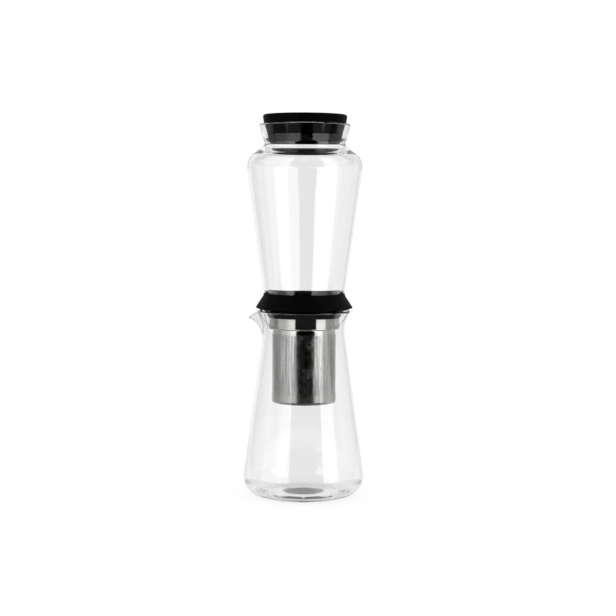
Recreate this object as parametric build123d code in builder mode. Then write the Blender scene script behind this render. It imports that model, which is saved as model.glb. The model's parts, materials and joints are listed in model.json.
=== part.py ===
from build123d import *
from math import acos, asin, atan2, cos, degrees, hypot, pi, sin, sqrt
import os

# Slow-drip cold brew coffee maker. Cold water drips from a glass vessel through
# a valve into a steel strainer of ground coffee, which hangs from a collar in
# the mouth of a glass decanter.
# Millimetres, +Z up. The origin is the centre of the decanter's foot, on the
# table. The spout points along -X. Radii are outer radii unless named inner.

# ---------------------------------------------------------------- driving sizes

# Decanter
decanter_height = 185.2
belly_r = 60.0
heel_r = 20.0
neck_r = 40.4
neck_below_rim = 20.0
flare_r = 35.2
decanter_wall = 2.2
floor_thickness = 4.0
push_up = 3.0
foot_ring_width = 7.0

# Spout, a trough that narrows and rises from the neck to its tip
spout_reach = 54.8
spout_root_r = 38.0
spout_root_half_width = 14.0
spout_tip_half_width = 3.4
spout_root_depth = 36.0
spout_tip_depth = 8.2
spout_tip_drop = 6.8
spout_edge_drop = 0.5
spout_curve = 2.2
spout_wall = 1.4
spout_overshoot = 4.0

# Strainer
strainer_r = 31.7
strainer_height = 85.9
band_r = 35.6
band_height = 11.8
sheet = 0.8
foil = 0.4
neck_sleeve_height = 7.4
base_ring_sheet = 0.3
base_ring_height = 9.8
base_ring_flange = 3.6
base_ring_corner = 1.0
mesh_disc_thickness = 0.4

# Shower plate
shower_plate_thickness = 1.0
shower_hole_r = 1.0
shower_ring_pitch = 6.0
shower_rings = 4
shower_holes_per_ring = 6

# Collar
plug_depth = 5.7
plug_gap = 3.9
skirt_overhang = 2.2
skirt_rise = 3.2
skirt_tip_height = 0.8
collar_lip = 1.1
collar_edge_height = 2.4
collar_edge_flare = 0.4
collar_top_round = 0.4
socket_depth = 18.6
collar_floor_thickness = 2.5
collar_floor_below_rim = 3.0
collar_outlet_r = 16.0
spigot_length = 8.2
spigot_wall = 3.0
guide_ribs = 4
guide_rib_width = 3.0
guide_rib_depth = 5.0
guide_rib_root = 2.0
groove_depth = 1.2
strainer_gasket_height = 2.0

# Seat gasket
seat_gasket_inner_r = 19.0
seat_gasket_outer_r = 25.0
seat_gasket_height = 2.0

# Water vessel: corner points of its outline before rounding. The waist is placed
# from the vessel's bottom, and the shoulder, throat and neck from its rim.
vessel_height = 185.6
vessel_wall = 2.0
vessel_foot_corner_r = 31.0
vessel_foot_round = 6.0
vessel_waist_r = 40.6
vessel_waist_height = 22.2
vessel_waist_round = 8.0
shoulder_r = 58.0
shoulder_below_rim = 34.8
shoulder_round = 16.0
throat_r = 39.4
throat_below_rim = 20.4
throat_round = 4.0
vessel_neck_r = 43.0
vessel_neck_below_rim = 10.3
vessel_neck_round = 14.0
vessel_rim_r = 44.9
vessel_rim_round = 0.8
outlet_r = 9.0

# Outlet grommet and drip valve
grommet_flange = 3.5
grommet_lip = 1.4
valve_stem_r = 5.0
valve_flange_width = 3.6
valve_flange_height = 2.0
valve_cup_r = 6.6
valve_cup_height = 9.0
valve_tip_length = 3.0
valve_bore_r = 2.2
orifice_length = 4.0
orifice_bore_r = 0.5
screen_thickness = 0.4
screen_seat = 0.8

# Lid
cap_r = 42.4
cap_taper = 1.4
cap_height = 9.2
cap_dome = 0.5
cap_round = 2.2
cap_rise = 0.5
core_r = 32.4
core_wall = 2.4
stopper_length = 22.9
stopper_top_r = 39.2
stopper_bottom_r = 35.0
stopper_round = 1.0
stopper_floor = 2.0
rib_above_bottom = 8.4
rib_root_height = 2.4
rib_edge_height = 1.0
air_notch_width = 4.0

# Clearances
seat_gap = 0.2
slip_gap = 0.3
running_gap = 0.05

# --------------------------------------------------------------- derived sizes

neck_z = decanter_height - neck_below_rim

# The decanter's straight side is the common tangent of the heel arc, which lies
# inside it, and the flare arc, which lies outside it.
heel_centre = (belly_r - heel_r, heel_r)
flare_centre = (neck_r + flare_r, neck_z)
centre_run = flare_centre[0] - heel_centre[0]
centre_rise = flare_centre[1] - heel_centre[1]
side_lean = atan2(centre_rise, centre_run) - acos(
    (heel_r + flare_r) / hypot(centre_run, centre_rise)
)
foot_r = heel_centre[0]
crest_z = decanter_height - decanter_wall / 2


def mouth_r(z, inset=0.0):
    """Radius of the decanter's flared mouth at height z, moved inwards by inset."""
    return flare_centre[0] - sqrt((flare_r + inset) ** 2 - (z - neck_z) ** 2)


rim_r = mouth_r(crest_z)
crest_r = rim_r - decanter_wall / 2

# Strainer, hung below the collar's plug
band_top = decanter_height - plug_depth
band_inner_r = band_r - sheet
band_bottom = band_top - band_height
ledge_top = band_bottom + sheet
strainer_bottom = band_top - strainer_height
wall_bottom = strainer_bottom + sheet
wall_inner_r = strainer_r - foil
shower_plate_r = band_inner_r - slip_gap

# Collar
plug_top_r = mouth_r(crest_z, decanter_wall) - plug_gap
skirt_tip_r = rim_r + skirt_overhang
skirt_tip_z = decanter_height + skirt_rise
spigot_r = band_inner_r - slip_gap
spigot_bottom = band_top - spigot_length
groove_r = spigot_r - groove_depth
groove_bottom = (band_top + spigot_bottom - strainer_gasket_height) / 2
groove_top = groove_bottom + strainer_gasket_height
collar_floor_top = decanter_height - collar_floor_below_rim
collar_floor_bottom = collar_floor_top - collar_floor_thickness

# Vessel, seated on the gasket in the collar's socket
vessel_bottom = collar_floor_top + seat_gasket_height
vessel_inside_bottom = vessel_bottom + vessel_wall
vessel_top = vessel_bottom + vessel_height
shoulder_z = vessel_top - shoulder_below_rim
throat_z = vessel_top - throat_below_rim
vessel_neck_z = vessel_top - vessel_neck_below_rim
collar_top = vessel_bottom + socket_depth
foot_slope = (vessel_waist_r - vessel_foot_corner_r) / vessel_waist_height
neck_slope = (vessel_neck_r - throat_r) / (vessel_neck_z - throat_z)


def socket_r(z):
    """Inner radius of the collar's socket, which follows the vessel's foot."""
    return vessel_foot_corner_r + foot_slope * (z - vessel_bottom) + slip_gap


def vessel_neck_inner_r(z):
    """Inner radius of the vessel's neck between its throat and its bend."""
    outer = throat_r + neck_slope * (z - throat_z)
    return outer - vessel_wall * hypot(1, neck_slope)


collar_top_r = socket_r(collar_top) + collar_lip

# Outlet
grommet_r = outlet_r + grommet_flange
grommet_top = vessel_inside_bottom + grommet_lip
grommet_bottom = vessel_bottom - grommet_lip
grommet_bore_r = valve_stem_r + running_gap
valve_bottom = grommet_bottom - valve_tip_length
valve_flange_top = grommet_top + valve_flange_height
valve_top = valve_flange_top + valve_cup_height
screen_r = valve_cup_r - screen_seat
valve_cup_inner_r = screen_r - screen_seat
screen_bottom = valve_top - screen_thickness

# Lid
cap_bottom = vessel_top + cap_rise
cap_top = cap_bottom + cap_height
stopper_bottom = cap_bottom - stopper_length
core_bottom = stopper_bottom + stopper_floor
rib_z = stopper_bottom + rib_above_bottom
rib_r = vessel_neck_inner_r(rib_z - rib_edge_height / 2) - slip_gap


def stopper_r(z):
    """Radius of the stopper's taper at height z."""
    return stopper_bottom_r + (stopper_top_r - stopper_bottom_r) * (z - stopper_bottom) / stopper_length


os.makedirs("parts", exist_ok=True)


def ring(inner_r, outer_r, bottom, top):
    """Draw a rectangle that revolves into a plain ring or disc."""
    Polyline((inner_r, bottom), (outer_r, bottom), (outer_r, top), (inner_r, top), close=True)


# -------------------------------------------------------------------- decanter


def decanter_side(inset, start_angle):
    """Draw the decanter's side, moved inwards by inset, from the heel to the rim.

    The heel arc starts at start_angle. The straight side stays parallel to
    itself, because the heel arc loses what the flare arc gains. The last arc
    rounds the rim up to its crest.
    """
    lean = degrees(side_lean)
    heel = CenterArc(heel_centre, heel_r - inset, start_angle, lean - start_angle)
    rim_angle = 180 - degrees(asin((crest_z - neck_z) / (flare_r + inset)))
    flare = CenterArc(flare_centre, flare_r + inset, 180 + lean, rim_angle - 180 - lean)
    Line(heel @ 1, flare @ 0)
    crest_top = (crest_r, decanter_height)
    TangentArc(crest_top, flare @ 1, tangent=(-1 if inset else 1, 0))
    return heel @ 0, crest_top


def spout_section(fraction, inset, lift):
    """Draw one cross-section of the spout, a rounded trough that hangs from its top.

    The fraction runs from 0 at the root, inside the neck, to 1 at the tip. The
    inset narrows the trough and moves its bottom up and inwards by as much, and
    lift raises its top.
    """
    run = spout_reach - spout_root_r
    depth_fraction = min(fraction + inset / run, 1)
    width_change = min(fraction, 1) * (spout_tip_half_width - spout_root_half_width)
    half_width = spout_root_half_width + width_change - inset
    edge_drop = fraction**spout_curve * (spout_tip_drop - spout_edge_drop)
    top = decanter_height - spout_edge_drop - edge_drop
    extra_depth = (1 - depth_fraction) ** spout_curve * (spout_root_depth - spout_tip_depth)
    bottom = decanter_height - spout_tip_depth - extra_depth + inset
    reach = spout_root_r + fraction * run
    with BuildSketch(Plane.YZ.offset(-reach)) as section:
        with BuildLine():
            trough = Spline(
                (-half_width, top), (0, bottom), (half_width, top), tangents=[(0, -1), (0, 1)]
            )
            if lift:
                lid_edge = Line((half_width, top + lift), (-half_width, top + lift))
                Line(trough @ 1, lid_edge @ 0)
                Line(lid_edge @ 1, trough @ 0)
            else:
                Line(trough @ 1, trough @ 0)
        make_face()
    return section.sketch


spout_stations = (0, 1 / 3, 2 / 3, 1)
spout_outside = [spout_section(station, 0, 0) for station in spout_stations]
spout_beyond = 1 + spout_wall / (spout_reach - spout_root_r)
spout_inside = [
    spout_section(station, spout_wall, spout_overshoot)
    for station in (*spout_stations[:-1], spout_beyond)
]
heel_floor_angle = -degrees(asin((heel_r - floor_thickness) / (heel_r - decanter_wall)))

with BuildPart() as decanter:
    with BuildSketch(Plane.XZ):
        with BuildLine():
            side_start, side_end = decanter_side(0, -90)
            foot_inner = (foot_r - foot_ring_width, 0)
            underside = TangentArc((0, push_up), foot_inner, tangent=(1, 0))
            Line(underside @ 1, side_start)
            Polyline(side_end, (0, decanter_height), underside @ 0)
        make_face()
    revolve(axis=Axis.Z)
    loft(spout_outside)
    with BuildSketch(Plane.XZ):
        with BuildLine():
            side_start, side_end = decanter_side(decanter_wall, heel_floor_angle)
            floor_middle = (0, floor_thickness + push_up)
            floor = TangentArc(floor_middle, side_start, tangent=(1, 0))
            Polyline(side_end, (0, decanter_height), floor @ 0)
        make_face()
    revolve(axis=Axis.Z, mode=Mode.SUBTRACT)
    loft(spout_inside, mode=Mode.SUBTRACT)

decanter.part.label = "decanter"
export_step(decanter.part, "parts/decanter.step")

# -------------------------------------------------------------------- strainer

with BuildPart() as strainer_rim_band:
    with BuildSketch(Plane.XZ):
        with BuildLine():
            Polyline(
                (band_r, band_top),
                (band_r, band_bottom),
                (wall_inner_r, band_bottom),
                (wall_inner_r, band_bottom - neck_sleeve_height),
                (wall_inner_r - sheet, band_bottom - neck_sleeve_height),
                (wall_inner_r - sheet, ledge_top),
                (band_inner_r, ledge_top),
                (band_inner_r, band_top),
                close=True,
            )
        make_face()
    revolve(axis=Axis.Z)
    band_corner = edges().filter_by(GeomType.CIRCLE).group_by(Axis.Z)[1].sort_by(SortBy.RADIUS)[-1]
    fillet(band_corner, sheet * 0.9)

strainer_rim_band.part.label = "strainer_rim_band"
export_step(strainer_rim_band.part, "parts/strainer_rim_band.step")

with BuildPart() as strainer_wall:
    with BuildSketch(Plane.XZ):
        with BuildLine():
            ring(wall_inner_r, strainer_r, wall_bottom, band_bottom)
        make_face()
    revolve(axis=Axis.Z)

strainer_wall.part.label = "strainer_wall"
export_step(strainer_wall.part, "parts/strainer_wall.step")

with BuildPart() as strainer_base_ring:
    with BuildSketch(Plane.XZ):
        with BuildLine():
            base_ring_r = strainer_r + base_ring_sheet
            base_ring_inner_r = strainer_r - base_ring_flange
            Polyline(
                (base_ring_inner_r, strainer_bottom),
                (base_ring_r, strainer_bottom),
                (base_ring_r, strainer_bottom + base_ring_height),
                (strainer_r, strainer_bottom + base_ring_height),
                (strainer_r, wall_bottom),
                (base_ring_inner_r, wall_bottom),
                close=True,
            )
        make_face()
    revolve(axis=Axis.Z)
    ring_corner = edges().filter_by(GeomType.CIRCLE).group_by(Axis.Z)[0].sort_by(SortBy.RADIUS)[-1]
    fillet(ring_corner, base_ring_corner)

strainer_base_ring.part.label = "strainer_base_ring"
export_step(strainer_base_ring.part, "parts/strainer_base_ring.step")

with BuildPart() as strainer_mesh_disc:
    with BuildSketch(Plane.XY.offset(wall_bottom)):
        Circle(wall_inner_r)
    extrude(amount=mesh_disc_thickness)

strainer_mesh_disc.part.label = "strainer_mesh_disc"
export_step(strainer_mesh_disc.part, "parts/strainer_mesh_disc.step")

with BuildPart() as shower_plate:
    with BuildSketch(Plane.XY.offset(ledge_top)):
        Circle(shower_plate_r)
        for row in range(1, shower_rings + 1):
            with PolarLocations(row * shower_ring_pitch, row * shower_holes_per_ring):
                Circle(shower_hole_r, mode=Mode.SUBTRACT)
    extrude(amount=shower_plate_thickness)

shower_plate.part.label = "shower_plate"
export_step(shower_plate.part, "parts/shower_plate.step")

# ---------------------------------------------------------------------- collar

with BuildPart() as collar:
    with BuildSketch(Plane.XZ):
        with BuildLine():
            Polyline(
                (socket_r(collar_top), collar_top),
                (collar_top_r, collar_top),
                (collar_top_r + collar_edge_flare, collar_top - collar_edge_height),
                (skirt_tip_r, skirt_tip_z + skirt_tip_height),
                (skirt_tip_r, skirt_tip_z),
                (plug_top_r, decanter_height),
                (band_r, band_top),
                (spigot_r, band_top),
                (spigot_r, groove_top),
                (groove_r, groove_top),
                (groove_r, groove_bottom),
                (spigot_r, groove_bottom),
                (spigot_r, spigot_bottom),
                (spigot_r - spigot_wall, spigot_bottom),
                (spigot_r - spigot_wall, collar_floor_bottom),
                (collar_outlet_r, collar_floor_bottom),
                (collar_outlet_r, collar_floor_top),
                (socket_r(collar_floor_top), collar_floor_top),
                close=True,
            )
        make_face()
    revolve(axis=Axis.Z)
    fillet(edges().filter_by(GeomType.CIRCLE).group_by(Axis.Z)[-1], collar_top_round)
    for index in range(guide_ribs):
        turn = 2 * pi * (index + 0.5) / guide_ribs
        outwards = (cos(turn), sin(turn), 0)
        with BuildSketch(Plane(origin=(0, 0, 0), x_dir=outwards, z_dir=(sin(turn), -cos(turn), 0))):
            with BuildLine():
                rib_bottom = decanter_height - guide_rib_depth
                rib_root_r = band_r - guide_rib_root
                Polyline(
                    (rib_root_r, rib_bottom),
                    (mouth_r(rib_bottom, decanter_wall) - slip_gap, rib_bottom),
                    (mouth_r(crest_z, decanter_wall) - slip_gap, crest_z),
                    (mouth_r(crest_z, decanter_wall) - slip_gap, decanter_height + seat_gap),
                    (rim_r, decanter_height + seat_gap),
                    (rim_r, skirt_tip_z),
                    (rib_root_r, skirt_tip_z),
                    close=True,
                )
            make_face()
        extrude(amount=guide_rib_width / 2, both=True)

collar.part.label = "collar"
export_step(collar.part, "parts/collar.step")

with BuildPart() as vessel_seat_gasket:
    with BuildSketch(Plane.XZ):
        with BuildLine():
            ring(seat_gasket_inner_r, seat_gasket_outer_r, collar_floor_top, vessel_bottom)
        make_face()
    revolve(axis=Axis.Z)

vessel_seat_gasket.part.label = "vessel_seat_gasket"
export_step(vessel_seat_gasket.part, "parts/vessel_seat_gasket.step")

with BuildPart() as strainer_gasket:
    with BuildSketch(Plane.XZ):
        with BuildLine():
            ring(groove_r, band_inner_r - running_gap, groove_bottom, groove_top)
        make_face()
    revolve(axis=Axis.Z)

strainer_gasket.part.label = "strainer_gasket"
export_step(strainer_gasket.part, "parts/strainer_gasket.step")

# ---------------------------------------------------------------- water vessel

with BuildPart() as water_vessel:
    with BuildSketch(Plane.XZ):
        with BuildLine():
            FilletPolyline(
                (outlet_r, vessel_bottom),
                (vessel_foot_corner_r, vessel_bottom),
                (vessel_waist_r, vessel_bottom + vessel_waist_height),
                (shoulder_r, shoulder_z),
                (throat_r, throat_z),
                (vessel_neck_r, vessel_neck_z),
                (vessel_rim_r, vessel_top),
                radius=(
                    vessel_foot_round,
                    vessel_waist_round,
                    shoulder_round,
                    throat_round,
                    vessel_neck_round,
                ),
            )
            offset(amount=vessel_wall, side=Side.LEFT)
        make_face()
    revolve(axis=Axis.Z)
    rim_edges = edges().filter_by(GeomType.CIRCLE).sort_by(Axis.Z)[-2:]
    fillet(rim_edges, vessel_rim_round)

water_vessel.part.label = "water_vessel"
export_step(water_vessel.part, "parts/water_vessel.step")

with BuildPart() as outlet_grommet:
    with BuildSketch(Plane.XZ):
        with BuildLine():
            Polyline(
                (grommet_bore_r, grommet_bottom),
                (grommet_r, grommet_bottom),
                (grommet_r, vessel_bottom),
                (outlet_r, vessel_bottom),
                (outlet_r, vessel_inside_bottom),
                (grommet_r, vessel_inside_bottom),
                (grommet_r, grommet_top),
                (grommet_bore_r, grommet_top),
                close=True,
            )
        make_face()
    revolve(axis=Axis.Z)

outlet_grommet.part.label = "outlet_grommet"
export_step(outlet_grommet.part, "parts/outlet_grommet.step")

# ------------------------------------------------------------------ drip valve

with BuildPart() as valve_body:
    with BuildSketch(Plane.XZ):
        with BuildLine():
            Polyline(
                (valve_bore_r, valve_bottom),
                (valve_stem_r, valve_bottom),
                (valve_stem_r, grommet_top),
                (valve_stem_r + valve_flange_width, grommet_top),
                (valve_stem_r + valve_flange_width, valve_flange_top),
                (valve_cup_r, valve_flange_top),
                (valve_cup_r, valve_top),
                (screen_r, valve_top),
                (screen_r, screen_bottom),
                (valve_cup_inner_r, screen_bottom),
                (valve_cup_inner_r, valve_flange_top),
                (valve_bore_r, valve_flange_top),
                close=True,
            )
        make_face()
    revolve(axis=Axis.Z)

valve_body.part.label = "valve_body"
export_step(valve_body.part, "parts/valve_body.step")

with BuildPart() as valve_orifice:
    with BuildSketch(Plane.XZ):
        with BuildLine():
            ring(orifice_bore_r, valve_bore_r, valve_bottom, valve_bottom + orifice_length)
        make_face()
    revolve(axis=Axis.Z)

valve_orifice.part.label = "valve_orifice"
export_step(valve_orifice.part, "parts/valve_orifice.step")

with BuildPart() as valve_screen:
    with BuildSketch(Plane.XY.offset(screen_bottom)):
        Circle(screen_r)
    extrude(amount=screen_thickness)

valve_screen.part.label = "valve_screen"
export_step(valve_screen.part, "parts/valve_screen.step")

# ------------------------------------------------------------------------- lid

with BuildPart() as lid_cap:
    with BuildSketch(Plane.XZ):
        with BuildLine():
            FilletPolyline(
                (core_r, cap_bottom),
                (cap_r - cap_taper, cap_bottom),
                (cap_r, cap_top),
                (0, cap_top + cap_dome),
                radius=(stopper_round / 2, cap_round),
            )
            Polyline(
                (0, cap_top + cap_dome),
                (0, cap_bottom),
                (core_r - core_wall, cap_bottom),
                (core_r - core_wall, core_bottom),
                (core_r, core_bottom),
                (core_r, cap_bottom),
            )
        make_face()
    revolve(axis=Axis.Z)

lid_cap.part.label = "lid_cap"
export_step(lid_cap.part, "parts/lid_cap.step")

with BuildPart() as lid_stopper:
    with BuildSketch(Plane.XZ):
        with BuildLine():
            rib_foot = rib_z - rib_root_height / 2
            rib_head = rib_z + rib_root_height / 2
            FilletPolyline(
                (0, stopper_bottom),
                (stopper_bottom_r, stopper_bottom),
                (stopper_r(rib_foot), rib_foot),
                radius=stopper_round,
            )
            Polyline(
                (stopper_r(rib_foot), rib_foot),
                (rib_r, rib_z - rib_edge_height / 2),
                (rib_r, rib_z + rib_edge_height / 2),
                (stopper_r(rib_head), rib_head),
                (stopper_top_r, cap_bottom),
                (core_r, cap_bottom),
                (core_r, core_bottom),
                (0, core_bottom),
                (0, stopper_bottom),
            )
        make_face()
    revolve(axis=Axis.Z)
    notch_depth = rib_r - stopper_r(rib_head)
    with Locations((0, rib_r, rib_z)):
        Box(air_notch_width, 2 * notch_depth, rib_root_height, mode=Mode.SUBTRACT)

lid_stopper.part.label = "lid_stopper"
export_step(lid_stopper.part, "parts/lid_stopper.step")
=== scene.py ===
"""Looks of a slow-drip cold brew coffee maker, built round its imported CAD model.

Each sub-assembly is a class. It takes its overall sizes from the CAD frame, keeps its finer
sizes as fields in millimetres, and makes its pieces as smooth surfaces. A new piece stands for
the CAD node of its name and rides on that node's body.
"""

import json
import logging
from abc import ABC, abstractmethod
from dataclasses import dataclass, field
from enum import Enum

import bpy
import numpy as np
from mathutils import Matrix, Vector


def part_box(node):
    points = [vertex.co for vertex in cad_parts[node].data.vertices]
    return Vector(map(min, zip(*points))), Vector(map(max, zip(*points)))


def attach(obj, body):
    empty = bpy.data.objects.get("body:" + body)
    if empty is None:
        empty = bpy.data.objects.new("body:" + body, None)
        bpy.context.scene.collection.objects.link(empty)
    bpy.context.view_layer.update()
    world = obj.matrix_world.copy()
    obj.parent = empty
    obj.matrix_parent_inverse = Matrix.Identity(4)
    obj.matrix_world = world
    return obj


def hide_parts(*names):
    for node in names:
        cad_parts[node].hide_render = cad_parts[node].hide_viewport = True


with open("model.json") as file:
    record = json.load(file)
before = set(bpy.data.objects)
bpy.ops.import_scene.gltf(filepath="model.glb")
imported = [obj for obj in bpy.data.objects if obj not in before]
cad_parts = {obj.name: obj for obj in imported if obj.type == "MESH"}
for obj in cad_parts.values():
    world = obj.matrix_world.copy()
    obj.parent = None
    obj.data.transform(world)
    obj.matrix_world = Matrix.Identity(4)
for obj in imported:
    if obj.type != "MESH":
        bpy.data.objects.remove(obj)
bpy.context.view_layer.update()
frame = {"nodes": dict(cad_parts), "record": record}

log = logging.getLogger("coffee_maker")
MM = 0.001
FULL_TURN = 2 * np.pi
ON_AXIS = 0.001  # millimetres: a row of points no wider than this is one pole
NOISE_SPAN = (0.3, 0.7)  # nearly all of a noise's values lie in it

Array = np.ndarray
Piece = bpy.types.Object
Tree = bpy.types.NodeTree
Node = bpy.types.Node
Socket = bpy.types.NodeSocket
Span = tuple[float, float]


# ---- the frame


@dataclass(frozen=True)
class NodeSize:
    """Outer radius, lowest and highest point of a turned CAD node, in millimetres."""

    radius: float
    bottom: float
    top: float

    @classmethod
    def of(cls, node: str) -> "NodeSize":
        """Measure a CAD node across +Y, where none of them has a spout or a notch."""
        low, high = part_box(node)
        return cls(-low.y / MM, low.z / MM, high.z / MM)


def measured(node: str) -> NodeSize:
    """Declare a field that holds the size of a CAD node."""
    return field(default_factory=lambda: NodeSize.of(node))


def body_of(node: str) -> str:
    """Name the body that a CAD node belongs to."""
    bodies = frame["record"]["behaviour"]["bodies"]
    return next(body for body, nodes in bodies.items() if node in nodes)


# ---- surfaces


@dataclass(frozen=True)
class Corner:
    """A corner of an outline: distance from the axis, height, and radius of its rounding."""

    r: float
    z: float
    rounding: float = 0.0


def unit(vectors: Array) -> Array:
    """Scale vectors to length one. A vector of no length stays as it is."""
    length = np.linalg.norm(vectors, axis=-1, keepdims=True)
    return vectors / np.where(length > 0, length, 1)


def run_points(start: Array, end: Array, step: float, support: float) -> Array:
    """Divide a straight run, with a support point close to each end.

    Args:
        start: First point of the run, which is left out.
        end: Last point of the run, which is left out.
        step: Longest distance between two points.
        support: Distance of the support points from the ends.

    Returns:
        The points in between. They keep smooth shading flat along the run.
    """
    length = float(np.linalg.norm(end - start))
    if length < 3 * support:
        return np.empty((0, 2))
    edge = support / length
    shares = np.linspace(edge, 1 - edge, 2 + int(length / step))
    return start + (end - start) * shares[:, None]


def outline(
    corners: list[Corner], closed: bool = False, step: float = 4.0, turn_step: float = 8.0
) -> Array:
    """Draw a polyline whose corners are rounded by arcs tangent to both sides.

    An arc of radius R in a corner of inside angle 2h starts R / tan(h) before the corner, and
    its centre lies R / sin(h) from the corner, halfway between the two sides.

    Args:
        corners: The corners in order, anticlockwise in the plane of radius and height.
        closed: Whether the last corner joins the first.
        step: Longest distance between two points on a straight run.
        turn_step: Largest turn between two points on an arc, in degrees.

    Returns:
        Points of (radius, height), one per row.
    """
    support = 0.12  # millimetres from an arc to the nearest point of the straight run
    points = np.array([(corner.r, corner.z) for corner in corners], float)
    rounds = np.array([corner.rounding for corner in corners], float)
    back = unit(np.roll(points, 1, axis=0) - points)
    ahead = unit(np.roll(points, -1, axis=0) - points)
    half = np.arccos(np.clip((back * ahead).sum(axis=1), -1, 1)) / 2
    half = np.where(rounds > 0, half, np.pi / 4)
    setback = (rounds / np.tan(half))[:, None]
    centres = points + unit(back + ahead) * (rounds / np.sin(half))[:, None]
    starts, ends = points + back * setback, points + ahead * setback
    stretches = []
    for i, radius in enumerate(rounds):
        first, last = starts[i] - centres[i], ends[i] - centres[i]
        if radius > 0:
            sweep = np.arctan2(first[0] * last[1] - first[1] * last[0], first @ last)
            count = 2 + int(abs(np.degrees(sweep)) / turn_step)
            angles = np.arctan2(first[1], first[0]) + np.linspace(0, sweep, count)
            ring = radius * np.stack([np.cos(angles), np.sin(angles)], axis=-1)
            stretches.append(centres[i] + ring)
        else:
            stretches.append(points[i : i + 1])
        following = (i + 1) % len(corners)
        if closed or following:
            stretches.append(run_points(ends[i], starts[following], step, support))
    return np.concatenate(stretches)


def skin(name: str, grid: Array, ring: bool = False) -> Piece:
    """Make a closed mesh from a grid of points carried round the axis.

    Row i is point i of the profile and column j is step j round the axis. Each face joins two
    rows and two columns, and the last column joins the first. A first or last row that lies on
    the axis becomes one pole.

    Args:
        name: Name of the piece.
        grid: Points in millimetres, shaped (rows, columns, 3).
        ring: Whether the last row joins the first.

    Returns:
        The object, at the origin, in metres, with smooth shading.
    """
    rows, columns = grid.shape[:2]
    index = np.arange(rows * columns).reshape(rows, columns)
    if not ring:
        for row in (0, -1):
            if np.ptp(grid[row], axis=0).max() < ON_AXIS:
                index[row] = index[row, 0]
    lower = index if ring else index[:-1]
    upper = np.roll(index, -1, axis=0) if ring else index[1:]
    faces = [lower, np.roll(lower, -1, axis=1), np.roll(upper, -1, axis=1), upper]
    used, faces = np.unique(np.stack(faces, axis=-1).reshape(-1, 4), return_inverse=True)
    faces = [list(dict.fromkeys(face)) for face in faces.reshape(-1, 4).tolist()]
    mesh = bpy.data.meshes.new(name)
    mesh.from_pydata((grid.reshape(-1, 3)[used] * MM).tolist(), [], faces)
    mesh.shade_smooth()
    piece = bpy.data.objects.new(name, mesh)
    bpy.context.scene.collection.objects.link(piece)
    return piece


def turned(name: str, profile: Array, ring: bool = False, columns: int = 192) -> Piece:
    """Turn one profile of (radius, height) points right round the axis."""
    return skin(name, swept(profile, np.linspace(0, FULL_TURN, columns, endpoint=False)), ring)


def turned_ring(name: str, corners: list[Corner], step: float = 4.0, columns: int = 192) -> Piece:
    """Turn a closed outline right round the axis."""
    return turned(name, outline(corners, closed=True, step=step), ring=True, columns=columns)


def smooth_max(a: Array, b: Array, blend: float) -> Array:
    """Take the larger of two heights, rounded by a parabola where they differ by less than blend."""
    nearness = np.clip(1 - np.abs(a - b) / blend, 0, None)
    return np.maximum(a, b) + nearness**2 * blend / 4


def direction(angles: Array) -> Array:
    """Turn angles to unit vectors (cos a, sin a)."""
    return np.stack([np.cos(angles), np.sin(angles)], axis=-1)


def half_circle(start: Array, end: Array, towards: Array, count: int = 9) -> Array:
    """Join two points, or two rows of points, by half circles that bulge towards unit directions."""
    centre, across = (start + end) / 2, (start - end) / 2
    turn = np.linspace(0, np.pi, count + 2)[1:-1].reshape(-1, *[1] * start.ndim)
    bulge = towards * np.linalg.norm(across, axis=-1, keepdims=True)
    return centre + across * np.cos(turn) + bulge * np.sin(turn)


def carry(profiles: Array, angles: Array) -> Array:
    """Carry a profile round the axis: (r, z) in column j goes to (r cos a, r sin a, z)."""
    radius, height = profiles[..., 0], profiles[..., 1]
    return np.stack([radius * np.cos(angles), radius * np.sin(angles), height], axis=-1)


def swept(profile: Array, angles: Array) -> Array:
    """Carry one profile round the axis without changing it on the way."""
    return carry(profile[:, None] + 0 * angles[:, None], angles)


def grid_normals(grid: Array) -> Array:
    """Return the outward unit normals of a grid: the step round the axis crossed with the step up."""
    around = np.roll(grid, -1, axis=1) - np.roll(grid, 1, axis=1)
    return unit(np.cross(around, np.gradient(grid, axis=0)))


# ---- finishes


def linear(hex_colour: str) -> tuple[float, float, float, float]:
    """Turn an sRGB hex colour to linear light, with an alpha of one."""
    channels = np.array([int(hex_colour[i : i + 2], 16) for i in (1, 3, 5)]) / 255
    light = np.where(channels <= 0.04045, channels / 12.92, ((channels + 0.055) / 1.055) ** 2.4)
    return (*light.tolist(), 1.0)


def add_node(tree: Tree, kind: str, settings: dict | None = None, inputs: dict | None = None) -> Node:
    """Add a shader node with its settings, its socket values and its links.

    Args:
        tree: The tree that the node joins.
        kind: Blender's name for the node's type.
        settings: Properties of the node itself.
        inputs: For each input socket, by name or number, a value or the socket that feeds it.

    Returns:
        The new node.
    """
    node = tree.nodes.new(kind)
    for key, value in (settings or {}).items():
        setattr(node, key, value)
    for socket, value in (inputs or {}).items():
        if isinstance(value, Socket):
            tree.links.new(value, node.inputs[socket])
        else:
            node.inputs[socket].default_value = value
    return node


def noise(tree: Tree, place: Socket, spacing: float, detail: float) -> Socket:
    """Draw a noise whose waves are a spacing in millimetres apart."""
    waves = {"Vector": place, "Scale": 1 / (spacing * MM), "Detail": detail}
    return add_node(tree, "ShaderNodeTexNoise", inputs=waves).outputs[0]


def relief(tree: Tree, height: Socket, depth: float) -> Socket:
    """Turn a pattern to the normals of a relief of a depth in millimetres."""
    bump = {"Height": height, "Distance": depth * MM, "Strength": 1.0}
    return add_node(tree, "ShaderNodeBump", inputs=bump).outputs[0]


def remap(tree: Tree, value: Socket, start: Span, end: Span = (0.0, 1.0)) -> Socket:
    """Map one span of a value to another, held at both ends."""
    ends = {"From Min": start[0], "From Max": start[1], "To Min": end[0], "To Max": end[1]}
    return add_node(tree, "ShaderNodeMapRange", inputs={"Value": value, **ends}).outputs[0]


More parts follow.
